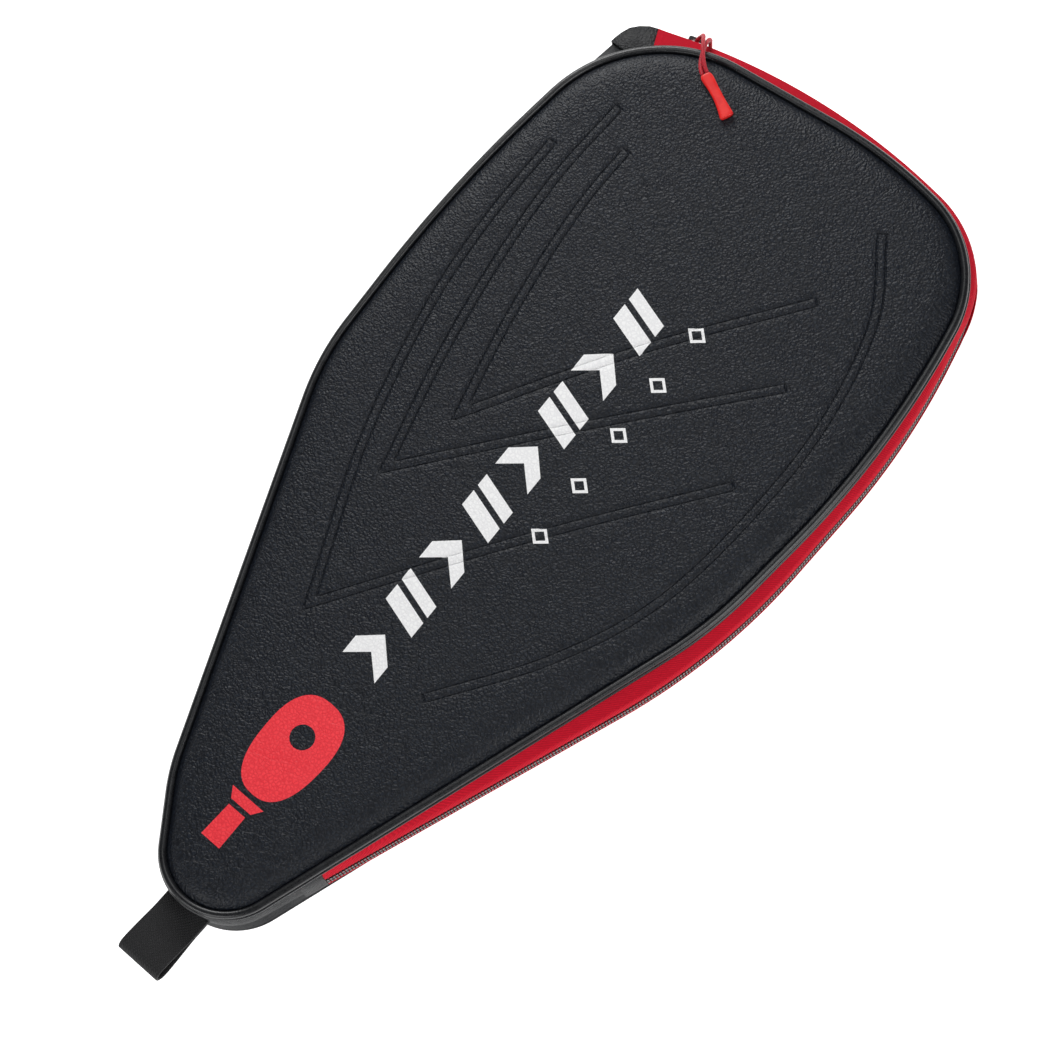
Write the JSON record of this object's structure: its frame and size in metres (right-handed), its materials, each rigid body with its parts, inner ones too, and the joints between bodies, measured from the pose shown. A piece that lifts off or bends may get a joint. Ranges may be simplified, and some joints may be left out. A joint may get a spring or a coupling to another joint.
{
  "type": "paddle case",
  "caption": "Padded black case for a racket-sport paddle, with piped edges, a red zip gusset round the head, a corded zip puller and a webbing hang loop at the tail.",
  "frame": {"origin": "middle of the body, on the resting face of the back panel", "axes": "+X towards the zip side, +Y along the case towards the head, +Z out of the front panel"},
  "size_m": [0.243, 0.5075, 0.0415],
  "materials": {
    "leather_black": "pebbled, semi-matt",
    "piping_black": "smooth, semi-gloss",
    "piping_core": "extruded",
    "foam_grey": "closed-cell foam",
    "lining_charcoal": "brushed tricot",
    "binding_black": "grosgrain",
    "gusset_red": "tight plain weave",
    "zip_tape_red": "twill tape",
    "zip_teeth_black": "coiled nylon",
    "zip_stop": "moulded",
    "slider_black": "satin lacquer",
    "cord_red": "braided",
    "grip_red": "moulded, matt",
    "webbing_black": "ribbed nylon webbing"
  },
  "bodies": {
    "case": {"back_foam": "foam_grey", "back_lining": "lining_charcoal", "back_piping_cord": "piping_core", "back_piping_cover": "piping_black", "back_seam_binding": "binding_black", "back_skin": "leather_black", "back_zip_gusset": "gusset_red", "back_zip_tape": "zip_tape_red", "back_zip_teeth": "zip_teeth_black", "front_foam": "foam_grey", "front_lining": "lining_charcoal", "front_piping_cord": "piping_core", "front_piping_cover": "piping_black", "front_seam_binding": "binding_black", "front_skin": "leather_black", "front_zip_gusset_start": "gusset_red", "front_zip_tape_start": "zip_tape_red", "front_zip_teeth_start": "zip_teeth_black", "spine_gusset": "leather_black", "spine_lining": "lining_charcoal", "zip_bottom_stop": "zip_stop", "zip_end_tab": "leather_black", "zip_start_tab": "leather_black", "zip_top_stops": "zip_stop"},
    "cover_flap": {"flap_foam": "foam_grey", "flap_lining": "lining_charcoal", "flap_piping_cord": "piping_core", "flap_piping_cover": "piping_black", "flap_seam_binding": "binding_black", "flap_skin": "leather_black", "flap_zip_gusset": "gusset_red", "flap_zip_tape": "zip_tape_red", "flap_zip_teeth": "zip_teeth_black"},
    "zip_slider": {"slider_body": "slider_black", "slider_bridge": "slider_black", "puller_cord_bight": "cord_red"},
    "puller": {"puller_cord_legs": "cord_red", "puller_grip": "grip_red"},
    "hang_loop": {"tail_loop": "webbing_black"}
  },
  "joints": [
    {"name": "cover_fold", "type": "hinge", "parent": "case", "child": "cover_flap", "pos_m": [-0.036, 0.236, 0.0384], "axis": [0.1948, -0.9808, 0], "range_deg": [0, 110]},
    {"name": "slider_travel", "type": "hinge", "parent": "case", "child": "zip_slider", "pos_m": [0.02, -0.08925, 0.019], "axis": [0, 0, -1], "range_deg": [0, 22.3]},
    {"name": "puller_swing", "type": "hinge", "parent": "zip_slider", "child": "puller", "pos_m": [-0.07835, 0.22578, 0.0248], "axis": [-0.9506, -0.3104, 0], "range_deg": [0, 100]},
    {"name": "loop_swing", "type": "hinge", "parent": "case", "child": "hang_loop", "pos_m": [0.0135, -0.2399, 0.019], "axis": [-1, 0, 0], "range_deg": [-25, 80]}
  ]
}
